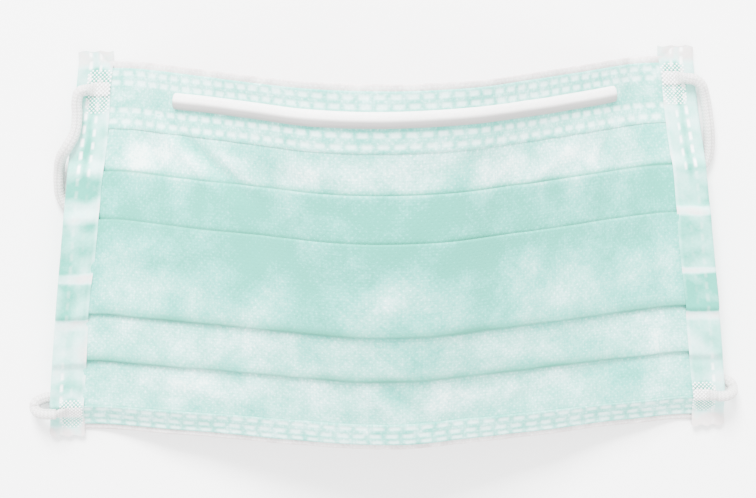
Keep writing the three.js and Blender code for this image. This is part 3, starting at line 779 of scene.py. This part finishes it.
# Where the green shows through, from the chin end to the nose end: heights and amounts.
LEFT_SHOW = (
    [-1, 0.4, 1.2, 9, 12, 14, 26.5, 27.4, 29.2, 29.8, 38.6, 39.2,
     40.8, 41.6, 53.2, 54.5, 58, 60.5, 63.5, 66, 90, 91, 92],
    [0.0, 0.05, 0.35, 0.40, 0.60, 0.35, 0.40, 0.12, 0.12, 0.70, 0.75, 0.18,
     0.18, 0.78, 0.70, 0.30, 0.35, 1.0, 0.95, 0.50, 0.45, 0.10, 0.0],
)
RIGHT_SHOW = (
    [-1, 1.2, 2.2, 12, 20, 27, 27.9, 29.3, 29.9, 39.2, 39.8, 40.6,
     41.2, 53.8, 54.4, 55.8, 56.4, 62.6, 64, 68, 90, 91.5, 93],
    [0.0, 0.10, 0.35, 0.45, 0.50, 0.50, 0.15, 0.15, 0.95, 0.90, 0.20, 0.20,
     0.75, 0.70, 0.15, 0.15, 0.70, 0.65, 0.45, 0.42, 0.42, 0.10, 0.0],
)
# Two columns of slots; clear is how plainly they show from the chin end to the nose end.
OUTER_CLEAR = ([0, 9, 14, 20, 64, 66, 93, 94], [0.2, 0.8, 0.8, 0.12, 0.15, 1, 1, 1])
INNER_CLEAR = ([0, 10, 14, 64, 66, 93], [0.1, 0.25, 0.05, 0.05, 0.8, 0.8])
SLOTS = [
    dict(across=84.6, pitch=3.05, start=0.1, long=1.7, wide=0.62, clear=OUTER_CLEAR),
    dict(across=82.1, pitch=3.05, start=0.35, long=1.5, wide=0.5, clear=INNER_CLEAR),
]
left_side_tape = tape("left_side_tape", -1, LEFT_SHOW, SLOTS, "left_tape")
right_side_tape = tape("right_side_tape", 1, RIGHT_SHOW, SLOTS, "right_tape")

# %% [markdown]
# ## Welded ends of the elastics
# At each corner the elastic is pressed flat and welded to the tape with a patterned tool, which leaves a
# lattice of tiny domes.  The flat end is a section that goes from round to flat along its way, and the domes
# are one small shape repeated at every lattice point.

# %% Weld finish
def weld_finish():
    """Glossier and whiter than the cloth, because the fibres have melted together."""
    finish = Finish("weld_dots", Roughness=0.4, Specular_IOR_Level=0.5)
    soft = finish.noise(finish.node("ShaderNodeTexCoord").outputs["Object"], 900, 3, 0.5)
    return finish.wear(Base_Color=finish.mix(soft, dye(0.92, 0.92, 0.92), dye(0.99, 0.99, 0.99)))

weld_white = weld_finish()

# %% Welded ends
def flat_end(name, hand, middle, start, far, node):
    """Half height and half width go from a round elastic at the tape's edge to a flat strip at the far end."""
    t = np.linspace(0, 1, 40)[:, None]
    turn = np.linspace(0, 2 * np.pi, 28, endpoint=False)[None, :]
    flat = smooth_step(0.05, 0.55, t)
    ends = 0.55 * smooth_step(0.12, 0, t)
    half_wide = 1.25 + 0.35 * flat - 0.5 * smooth_step(0.93, 1, t) - ends
    half_thick = 1.2 - 0.92 * flat - 0.2 * smooth_step(0.93, 1, t) - ends
    across = start + t * (far - start) + 0 * turn
    height = middle + half_wide * np.cos(turn) * (1 + 0.04 * np.sin(18 * t))
    level = TAPE_FACE - 0.03 + (1.2 - 0.92 * flat) * (1 + 0 * turn) + half_thick * np.sin(turn)
    points = place(hand * across, height, level + stack_level(height) + tape_pucker(hand, across, height))
    rows, columns = points.shape[:2]
    faces = grid_faces(rows, columns, wrap_columns=True)
    flat_points = points.reshape(-1, 3)
    first, last = points[0].mean(axis=0), points[-1].mean(axis=0)
    count = rows * columns
    k = np.arange(columns)
    near_cap = np.stack([k, (k + 1) % columns, np.full(columns, count)], axis=1)
    rim = count - columns
    far_cap = np.stack([(k + 1) % columns + rim, k + rim, np.full(columns, count + 1)], axis=1)
    triangles = np.vstack([faces[:, [0, 1, 2]], faces[:, [0, 2, 3]], near_cap, far_cap])
    if hand < 0:
        triangles = triangles[:, ::-1]
    uv = np.stack([t * 8 + 0 * turn, turn * 1.3 + 0 * t], axis=-1).reshape(-1, 2)
    uv = np.vstack([uv, [[0, 0], [8, 0]]]) / 100
    piece = write_mesh(name, np.vstack([flat_points, first[None], last[None]]), triangles, elastic, uv)
    return adopt(piece, "elastic", node)

def weld_dots(name, hand, middle, low, high, near, far):
    """Dome = circle of radius r at the base and r/2 above it, closed by a tip; one at each point of a
    lattice whose every second row is shifted by half a step."""
    step = 0.96
    heights, columns = np.meshgrid(np.arange(low, high, step / 2), np.arange(near, far, step), indexing="ij")
    shifted = columns + (np.round((heights - low) / (step / 2)) % 2) * step / 2
    a, h = shifted.ravel(), heights.ravel()
    corner = np.hypot((a - (near + far) / 2) / (far - near) * 2, (h - (low + high) / 2) / (high - low) * 2)
    keep = corner < 1.33
    a, h = a[keep][:, None], h[keep][:, None]
    on_elastic = smooth_step(2.1, 1.2, np.abs(h - middle)) * smooth_step(far - 0.2, far - 1.2, a)
    base = TAPE_FACE - 0.06 + stack_level(h) + tape_pucker(hand, a, h) + 0.52 * on_elastic
    turn = np.linspace(0, 2 * np.pi, 8, endpoint=False)[None, :]
    radius = 0.27
    rings = []
    for scale, rise in ((1.0, 0.0), (0.72, 0.14)):
        x, y = a + radius * scale * np.cos(turn), h + radius * scale * np.sin(turn)
        rings.append(place(hand * x, y, base + rise))
    tip = place(hand * a, h, base + 0.19)
    points = np.concatenate([rings[0], rings[1], tip], axis=1)
    k = np.arange(8)
    n = (k + 1) % 8
    lower, upper = np.stack([k, n, 8 + n], 1), np.stack([k, 8 + n, 8 + k], 1)
    dome = np.vstack([lower, upper, np.stack([8 + k, 8 + n, k * 0 + 16], 1)])
    if hand < 0:
        dome = dome[:, ::-1]
    faces = (dome[None] + 17 * np.arange(len(a))[:, None, None]).reshape(-1, 3)
    piece = write_mesh(name, points.reshape(-1, 3), faces, weld_white)
    return adopt(piece, "elastic")

welds = []
for label, hand, middle, low, high, node in CORNERS:
    welds.append(flat_end(label + "_flat_end", hand, middle, 85.9, 79.4, node))
    welds.append(weld_dots(label + "_weld_dots", hand, middle, low, high, 79.5, 84.7))

# %% [markdown]
# ## What the cloth is
# Both plies are one rectangle folded four times, so the size they would have if they were pulled flat is
# worked out here.  The mask stands on its two side tapes.

# %% Sheets
FLAT = (2 * 86.6 * MM, cloth_used * MM)
print("flat size of a ply, mm", [round(side / MM, 1) for side in FLAT])

# %% [markdown]
# ## Table and light
# A large pale table and soft light from all round keep the shadows faint, as on a studio sweep.  One broad
# lamp stands beyond the nose edge, so the folds that face the nose catch it and the others fall in shade;
# the cloth's colour also carries painted shade along the folds.

# %% Table and lamps
def studio():
    """A square table top, an even white sky and two broad lamps."""
    finish = Finish("table_white", Roughness=0.9, Specular_IOR_Level=0.1)
    grain = finish.noise(finish.node("ShaderNodeTexCoord").outputs["Object"], 40, 2, 0.5)
    finish.wear(Base_Color=finish.mix(grain, dye(0.97, 0.97, 0.97), dye(1.0, 1.0, 1.0)))
    side = 2.0
    corners = np.array([[-side, -side, 0], [side, -side, 0], [side, side, 0], [-side, side, 0]])
    table = write_mesh("table_top", corners, np.array([[0, 1, 2, 3]]), finish.material)
    world = bpy.data.worlds.new("soft_sky")
    world.use_nodes = True
    world.node_tree.nodes["Background"].inputs["Color"].default_value = (1, 1, 1, 1)
    world.node_tree.nodes["Background"].inputs["Strength"].default_value = 3.5
    bpy.context.scene.world = world
    lamps = [("nose_side_lamp", (-0.2, 1.0, 0.75), 0.45, 95.0), ("fill_lamp", (0.5, -0.5, 1.0), 0.9, 10.0)]
    for name, where, size, power in lamps:
        data = bpy.data.lights.new(name, "AREA")
        data.size, data.energy = size, power
        lamp = bpy.data.objects.new(name, data)
        lamp.location = where
        lamp.rotation_euler = (-Vector(where)).to_track_quat("-Z", "Y").to_euler()
        bpy.context.scene.collection.objects.link(lamp)
    return table

table_top = studio()
